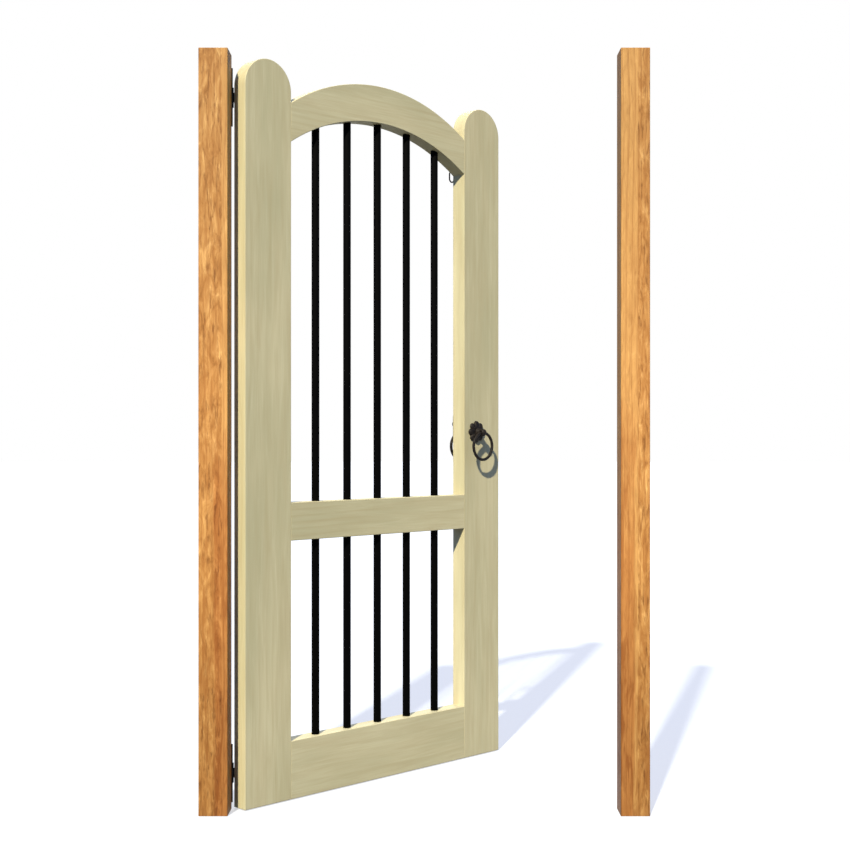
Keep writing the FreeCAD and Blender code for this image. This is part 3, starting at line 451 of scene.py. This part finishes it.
def cut(base, tools):
    """A mesh with other meshes cut out of it."""
    scratch = [bpy.data.objects.new("scratch", mesh) for mesh in [base] + tools]
    for item in scratch:
        bpy.context.scene.collection.objects.link(item)
    for tool in scratch[1:]:
        step = scratch[0].modifiers.new("cut", "BOOLEAN")
        step.operation = "DIFFERENCE"
        step.solver = "EXACT"
        step.object = tool
    seen = scratch[0].evaluated_get(bpy.context.evaluated_depsgraph_get())
    result = bpy.data.meshes.new_from_object(seen)
    for item in scratch:
        used = item.data
        bpy.data.objects.remove(item)
        bpy.data.meshes.remove(used)
    return result


def placed_copies(template, matrices):
    """One mesh made of a template at several places."""
    form = bmesh.new()
    for matrix in matrices:
        first = len(form.verts)
        form.from_mesh(template)
        form.verts.ensure_lookup_table()
        bmesh.ops.transform(form, matrix=matrix, verts=form.verts[first:])
    bpy.data.meshes.remove(template)
    return mesh_from(form, face_out=False)


def loose_boxes(node, space):
    """The boxes of a CAD node's separate solids, along the axes of a space, in order of place."""
    form = bmesh.new()
    form.from_mesh(frame["nodes"][node].data)
    bmesh.ops.transform(form, matrix=space.inverted(), verts=form.verts)
    bmesh.ops.remove_doubles(form, verts=form.verts, dist=SOLID_GAP)
    boxes = []
    waiting = set(form.verts)
    while waiting:
        group, found = set(), [waiting.pop()]
        while found:
            vertex = found.pop()
            group.add(vertex)
            for edge in vertex.link_edges:
                other = edge.other_vert(vertex)
                if other in waiting:
                    waiting.remove(other)
                    found.append(other)
        boxes.append(box_of([vertex.co for vertex in group]))
    form.free()
    return sorted(boxes, key=lambda box: [round(value, 4) for value in box[0]])


def arc_points(centre, radius, start, end, steps):
    """Points on an arc, from one angle to another, in radians."""
    return [(centre[0] + radius * math.cos(start + (end - start) * i / steps),
             centre[1] + radius * math.sin(start + (end - start) * i / steps))
            for i in range(steps + 1)]


def lathe_mesh(profile, sides=TURNED_SIDES):
    """A turned shape about local Z from (radius, height) points; a zero radius makes a pole."""
    form = bmesh.new()
    rings = []
    for radius, height in profile:
        turns = directions(sides) if radius else [0]
        rings.append([form.verts.new((radius * math.cos(turn), radius * math.sin(turn), height))
                      for turn in turns])
    skin(form, rings)
    return mesh_from(form)


def tube_mesh(path, radius, across):
    """A closed round wire along a flat loop of points; across is the normal of the loop's plane."""
    form = bmesh.new()
    rings = []
    for i, point in enumerate(path):
        along = (path[(i + 1) % len(path)] - path[i - 1]).normalized()
        outward = along.cross(across).normalized()
        rings.append([form.verts.new(point + radius * (math.cos(turn) * outward + math.sin(turn) * across))
                      for turn in directions(WIRE_SIDES)])
    skin(form, rings, around=True)
    return mesh_from(form)


# ---------------------------------------------------------------- posts and boards
def post_piece(node, material):
    """A square post with eased long edges, in axes centred on its foot."""
    low, high = box_in(node, ROW)
    foot = Matrix.Translation(((low.x + high.x) / 2, (low.y + high.y) / 2, 0))
    half_x, half_y = (high.x - low.x) / 2, (high.y - low.y) / 2
    corners = [(-half_x, 0), (half_x, 0), (half_x, high.z), (-half_x, high.z)]
    mesh = board_mesh(corners, -half_y, half_y, POST_CORNERS)
    ease_edges(finish_piece(node, mesh, material, foot), POST_ARRIS, by_weight=True)


def leaf_board(node, outline, weights, material):
    """A board of the leaf, as thick as its stiles."""
    low, high = box_in("hinge_stile", LEAF)
    mesh = board_mesh(outline, low.y, high.y, weights)
    ease_edges(finish_piece(node, mesh, material, LEAF), LEAF_ARRIS, by_weight=True)


def clear_width():
    """From the hinge stile's inner edge to the latch stile's."""
    return box_in("hinge_stile", LEAF)[1].x, box_in("latch_stile", LEAF)[0].x


def stile_piece(node, material):
    """An upright with a half-round head."""
    low, high = box_in(node, LEAF)
    radius = (high.x - low.x) / 2
    centre = (low.x + radius, high.z - radius)
    head = arc_points(centre, radius, 0, math.pi, ARC_STEPS)
    outline = [(low.x, low.z), (high.x, low.z)] + head
    leaf_board(node, outline, [1] * len(outline), material)


def rail_piece(node, material):
    """A straight rail between the stiles, less its tenons."""
    rail_low, rail_high = box_in(node, LEAF)
    start, end = clear_width()
    outline = [(start, rail_low.z), (end, rail_low.z), (end, rail_high.z), (start, rail_high.z)]
    leaf_board(node, outline, [1, JOINT_ARRIS, 1, JOINT_ARRIS], material)


def arch_piece(node, material):
    """The arched top rail, as deep at its ends as at its crown."""
    crown = box_in(node, LEAF)[1].z
    start, end = clear_width()
    middle = (start + end) / 2
    half_angle = math.asin((end - middle) / ARCH_RADIUS)
    top = arc_points((middle, crown - ARCH_RADIUS), ARCH_RADIUS, math.pi / 2 - half_angle,
                     math.pi / 2 + half_angle, ARC_STEPS)
    underside = [(u, z - ARCH_DEPTH) for u, z in reversed(top)]
    outline = underside + top
    weights = [1] * (len(underside) - 1) + [JOINT_ARRIS] + [1] * (len(top) - 1) + [JOINT_ARRIS]
    leaf_board(node, outline, weights, material)


def bar_piece(node, material):
    """A round upright bar with chamfered ends."""
    low, high = box_in(node, LEAF)
    radius = (high.x - low.x) / 2
    length = high.z - low.z
    profile = [(0, 0), (radius - BAR_CHAMFER, 0), (radius, BAR_CHAMFER), (radius, length / 2),
               (radius, length - BAR_CHAMFER), (radius - BAR_CHAMFER, length), (0, length)]
    centre = LEAF @ Matrix.Translation(((low.x + high.x) / 2, (low.y + high.y) / 2, low.z))
    finish_piece(node, lathe_mesh(profile), material, centre)


# ---------------------------------------------------------------- screws
def thread_mesh(core, crest, low, high, pitch, point):
    """A threaded shank down local -Z from low to high, closed at both ends, with a tapered point."""
    rows = int(4 * (high - low) / pitch)
    form = bmesh.new()
    rings = []
    for row in range(rows + 1):
        depth = low + (high - low) * row / rows
        taper = min(1, (high - depth) / point + 0.12)
        ring = []
        for k, turn in enumerate(directions(THREAD_SIDES)):
            phase = (depth / pitch + k / THREAD_SIDES) % 1
            ridge = max(0, 1 - 3.2 * abs(phase - 0.5)) * min(1, 3 * row / rows)
            radius = (core + (crest - core) * ridge) * taper
            ring.append(form.verts.new((radius * math.cos(turn), radius * math.sin(turn), -depth)))
        rings.append(ring)
    skin(form, rings)
    form.faces.new(list(reversed(rings[0])))
    form.faces.new(rings[-1])
    return mesh_from(form)


def cross_mesh(span, width, low, high):
    """A cross-shaped driver recess, narrowing as it goes down."""
    form = bmesh.new()
    shrink = 0.45
    half, arm = width / 2, span / 2
    outline = [(half, half), (half, arm), (-half, arm), (-half, half), (-arm, half), (-arm, -half),
               (-half, -half), (-half, -arm), (half, -arm), (half, -half), (arm, -half), (arm, half)]
    bottom = [form.verts.new((x * shrink, y * shrink, low)) for x, y in outline]
    top = [form.verts.new((x, y, high)) for x, y in outline]
    form.faces.new(list(reversed(bottom)))
    form.faces.new(top)
    skin(form, [bottom, top])
    return mesh_from(form)


def screw_mesh(head_radius, crown, shank_radius, length):
    """A wood screw down local -Z, with its seat at zero; with no crown its head is a sunk cone."""
    start = 0
    if crown == 0:
        start = head_radius - shank_radius
        profile = [(0, 0), (head_radius - RIM_DROP, 0), (head_radius, -RIM_DROP),
                   (shank_radius, -start), (0, -start)]
    else:
        ball = (head_radius ** 2 + crown ** 2) / (2 * crown)
        lean = math.asin((head_radius - RIM_DROP) / ball)
        dome = [(ball * math.sin(lean * k / 8), crown - ball + ball * math.cos(lean * k / 8))
                for k in range(9)]
        profile = dome + [(head_radius, 0.12 * MM), (head_radius - 0.1 * MM, 0), (0, 0)]
    recess = cross_mesh(1.25 * head_radius, 0.3 * head_radius, crown - 0.45 * head_radius, crown + 1 * MM)
    head = cut(lathe_mesh(profile, SCREW_SIDES), [recess])
    shank = thread_mesh(0.72 * shank_radius, shank_radius, start, length, 0.8 * shank_radius,
                        0.25 * length)
    form = bmesh.new()
    for part in (head, shank):
        form.from_mesh(part)
        bpy.data.meshes.remove(part)
    return mesh_from(form, face_out=False)


def screws_piece(node, space, facing, material, crown=0.0):
    """All the screws of a CAD node, each turned a little differently; facing is where heads look."""
    boxes = loose_boxes(node, space)
    size = boxes[0][1] - boxes[0][0]
    head_radius = size.z / 2
    template = screw_mesh(head_radius, crown, SHANK_SHARE * head_radius, size.y - crown)
    stand = Matrix.Rotation(-facing * math.pi / 2, 4, "X")
    matrices = []
    for count, (low, high) in enumerate(boxes):
        seat = (low + high) / 2
        seat.y = (high.y if facing > 0 else low.y) - facing * crown
        spin = Matrix.Rotation(0.4 + 1.9 * count, 4, "Z")
        matrices.append(Matrix.Translation(seat) @ stand @ spin)
    piece = finish_piece(node, placed_copies(template, matrices), material, space)
    ease_edges(piece, SCREW_ARRIS, segments=1)


# ---------------------------------------------------------------- rings and rose
def wire_piece(node, material, straight_steps):
    """A closed pull of round wire: a ring, or an oval loop with straight sides in some steps."""
    low, high = box_in(node, LEAF)
    wire_radius = (high.y - low.y) / 2
    radius = (high.x - low.x) / 2 - wire_radius
    if straight_steps:
        rise = (high.z - low.z) / 2 - wire_radius - radius
        path = []
        for side, first in ((1, 0), (-1, math.pi)):
            path += [(u, side * rise + z) for u, z in arc_points((0, 0), radius, first, first + math.pi, 24)]
            path += [(-side * radius, side * rise * (1 - 2 * step / straight_steps))
                     for step in range(1, straight_steps)]
    else:
        path = [(radius * math.cos(turn), radius * math.sin(turn)) for turn in directions(RING_STEPS)]
    mesh = tube_mesh([Vector((u, 0, z)) for u, z in path], wire_radius, Vector((0, 1, 0)))
    finish_piece(node, mesh, material, LEAF @ Matrix.Translation((low + high) / 2))


def rose_piece(node, screw_node, material):
    """A domed rose of round petals that meet in valleys, with seats for its screws."""
    low, high = box_in(node, LEAF)
    centre = (low + high) / 2
    outer, height = (high.x - low.x) / 2, high.y - low.y
    petal = PETAL_SHARE * outer

    def rim(turn):
        """Distance of the scalloped edge along a direction."""
        half_step = math.pi / ROSE_LOBES
        off = (turn + half_step) % (2 * half_step) - half_step
        reach = outer - petal
        return reach * math.cos(off) + math.sqrt(petal ** 2 - (reach * math.sin(off)) ** 2)

    def lift(turn, radius):
        """Height of the rose's front above the wood."""
        edge = rim(turn)
        flat = ROSE_BORE + ROSE_CROWN
        share = max(0, min(1, (radius - flat) / (edge - flat)))
        dome = ROSE_EDGE + (height - ROSE_EDGE) * math.sqrt(max(0, 1 - share ** 2.2))
        valley = (outer - edge) / (outer - rim(math.pi / ROSE_LOBES))
        return dome - VALLEY_DEPTH * valley ** 1.5 * share ** 0.8 * (1 - share ** 6)

    form = bmesh.new()
    rings = []
    for row in range(ROSE_ROWS + 1):
        share = math.sin(math.pi / 2 * row / ROSE_ROWS)
        ring = []
        for turn in directions(ROSE_SIDES):
            radius = ROSE_BORE + (rim(turn) - ROSE_BORE) * share
            ring.append(form.verts.new((radius * math.cos(turn), -lift(turn, radius),
                                        radius * math.sin(turn))))
        rings.append(ring)
    for edge in (rings[-1], rings[0]):
        rings.append([form.verts.new((vertex.co.x, 0, vertex.co.z)) for vertex in edge])
    skin(form, rings, around=True)
    mesh = mesh_from(form)

    cutters = []
    for seat_low, seat_high in loose_boxes(screw_node, LEAF):
        head_radius = (seat_high.x - seat_low.x) / 2
        shank_radius = SHANK_SHARE * head_radius + HOLE_GAP
        seat = (seat_low + seat_high) / 2 - centre
        seat.y = seat_low.y + ROSE_SCREW_CROWN - high.y
        profile = [(0, -outer), (shank_radius, -outer), (shank_radius, 0),
                   (head_radius + HOLE_GAP, 0), (head_radius + HOLE_GAP, outer), (0, outer)]
        cutter = lathe_mesh(profile, SEAT_SIDES)
        cutter.transform(Matrix.Translation(seat) @ Matrix.Rotation(math.pi / 2, 4, "X"))
        cutters.append(cutter)
    place = LEAF @ Matrix.Translation((centre.x, high.y, centre.z))
    piece = finish_piece(node, cut(mesh, cutters), material, place)
    ease_edges(piece, ROSE_ARRIS, segments=2)


# ---------------------------------------------------------------- CAD nodes that keep their shape
def dress(node, material):
    """Give a CAD node its finish and eased edges."""
    piece = frame["nodes"][node]
    piece.data.materials.clear()
    piece.data.materials.append(material)
    weld = piece.modifiers.new("joined corners", "WELD")
    weld.merge_threshold = WELD_GAP
    ease_edges(piece, IRON_ARRIS, segments=2)


# ---------------------------------------------------------------- stage
def add_sun(name, travel, energy, width, colour):
    """A sun whose light travels along a vector; width is its size in the sky."""
    lamp = bpy.data.objects.new(name, bpy.data.lights.new(name, "SUN"))
    lamp.data.energy = energy
    lamp.data.angle = width
    lamp.data.color = colour
    lamp.rotation_mode = "QUATERNION"
    lamp.rotation_quaternion = (-travel).to_track_quat("Z", "Y")
    bpy.context.scene.collection.objects.link(lamp)


def set_stage():
    """A pale floor, a pale background, a soft key light, a weak one from behind and the camera."""
    scene = bpy.context.scene
    scene.view_settings.view_transform = "Standard"

    world = bpy.data.worlds.new("studio")
    scene.world = world
    world.use_nodes = True
    tree = world.node_tree
    tree.nodes.clear()
    output = tree.nodes.new("ShaderNodeOutputWorld")
    backdrop = add(tree, "Background", (1, 1, 1, 1), 1.0)
    direction = add(tree, "SeparateXYZ", tree.nodes.new("ShaderNodeTexCoord").outputs["Generated"])
    upward = math_node(tree, "MULTIPLY_ADD", direction.outputs["Z"], 0.5, 0.5)
    sky = ramp(tree, upward, list(zip(HORIZON, (FILL_FROM_BELOW, FILL_FROM_ABOVE))))
    fill = add(tree, "Background", sky, 1.0)
    seen = tree.nodes.new("ShaderNodeLightPath").outputs["Is Camera Ray"]
    both = add(tree, "MixShader", seen, fill, backdrop)
    tree.links.new(both.outputs[0], output.inputs["Surface"])

    for name, (travel, energy, width, colour) in SUNS.items():
        add_sun(name, travel, energy, width, colour)

    form = bmesh.new()
    bmesh.ops.create_circle(form, cap_ends=True, radius=FLOOR_RADIUS, segments=96)
    floor = bpy.data.objects.new("floor", mesh_from(form, face_out=False))
    scene.collection.objects.link(floor)
    material, _, shader = start_material("pale floor")
    shader.inputs["Base Color"].default_value = FLOOR_COLOUR
    shader.inputs["Roughness"].default_value = 0.9
    shader.inputs["Specular IOR Level"].default_value = 0.1
    shader.inputs["Emission Color"].default_value = FLOOR_GLOW
    shader.inputs["Emission Strength"].default_value = FLOOR_GLOW_STRENGTH
    floor.data.materials.append(material)
    floor.visible_diffuse = False

    camera = bpy.data.objects.new("camera", bpy.data.cameras.new("camera"))
    camera.location = CAMERA_PLACE
    camera.rotation_euler = (math.pi / 2, 0, 0)
    camera.data.lens = CAMERA_LENS
    camera.data.shift_y = CAMERA_SHIFT
    scene.collection.objects.link(camera)
    scene.camera = camera


# ---------------------------------------------------------------- the gate
def main():
    set_stage()
    post_piece("hinge_post", post_timber("hinge post timber", (0.31, 0.12, 0.4), (0.02, 0.06, 0), 1,
                                         (1, 1, 0.8), 22 * MM, -1))
    post_piece("latch_post", post_timber("latch post timber", (1.23, 0.51, 2.2), (-0.03, 0.05, 0), -1,
                                         (0.66, 0.64, 0.45), 5 * MM, 1))
    for node, shape, name, along, seed, pith in (
            ("hinge_stile", stile_piece, "hinge stile timber", "z", (0.13, 0.02, 0), (0.25, 0.10, 0)),
            ("latch_stile", stile_piece, "latch stile timber", "z", (0.7, 0.3, 1.7), (1.9, 0.42, 0)),
            ("arched_top_rail", arch_piece, "arched rail timber", "x", (0.2, 0.9, 0.4), (0.1, 1.1, 0)),
            ("mid_rail", rail_piece, "mid rail timber", "x", (0.5, 0.2, 0.9), (0.1, 0.35, 0)),
            ("bottom_rail", rail_piece, "bottom rail timber", "x", (0.9, 0.6, 0.3), (0.8, 0.75, 0))):
        shape(node, leaf_timber(name, along, seed, pith))

    bar_paint = black_metal("bar paint", (0.0006, 0.0006, 0.0008), (0.0014, 0.0014, 0.0015),
                            0.7, 0.02, 0.10, 0.02)
    for number in range(1, 6):
        bar_piece("infill_bar_%d" % number, bar_paint)

    cast_iron = black_metal("cast iron", (0.006, 0.0048, 0.0044), (0.014, 0.0105, 0.009),
                            0.55, 0.25, 0.35, 0.14)
    black_iron = black_metal("black iron", (0.006, 0.0055, 0.005), (0.013, 0.0115, 0.010),
                             0.55, 0.12, 0.25, 0.16)
    screw_black = black_metal("screw black", (0.012, 0.012, 0.0125), (0.024, 0.022, 0.021),
                              0.40, 0.0, 0.1, 0.22)
    steel = blued_steel("blued steel")
    rose_piece("front_rose", "rose_screws", cast_iron)
    for node, straight_steps in (("front_ring", 0), ("back_ring", 0), ("bolt_pull_loop", 6)):
        wire_piece(node, cast_iron, straight_steps)
    for node, space, facing, crown in (
            ("rose_screws", LEAF, -1, ROSE_SCREW_CROWN), ("hinge_strap_screws", LEAF, 1, 1.5 * MM),
            ("latch_staple_screws", LEAF, 1, 1.2 * MM), ("post_plate_screws", ROW, 1, 1.5 * MM),
            ("latch_keeper_screws", ROW, 1, 1.2 * MM), ("bolt_keeper_screws", ROW, 1, 1.2 * MM),
            ("latch_back_plate_screws", LEAF, 1, 0.0), ("bolt_plate_screws", LEAF, 1, 0.0)):
        screws_piece(node, space, facing, screw_black, crown)

    finishes = {"latch_iron": cast_iron, "hinge_iron": black_iron, "screw_black": screw_black,
                "dark_steel": steel}
    for part in frame["record"]["subparts"]:
        if part["node"] not in REPLACED and part["material_slot"] in finishes:
            dress(part["node"], finishes[part["material_slot"]])


main()
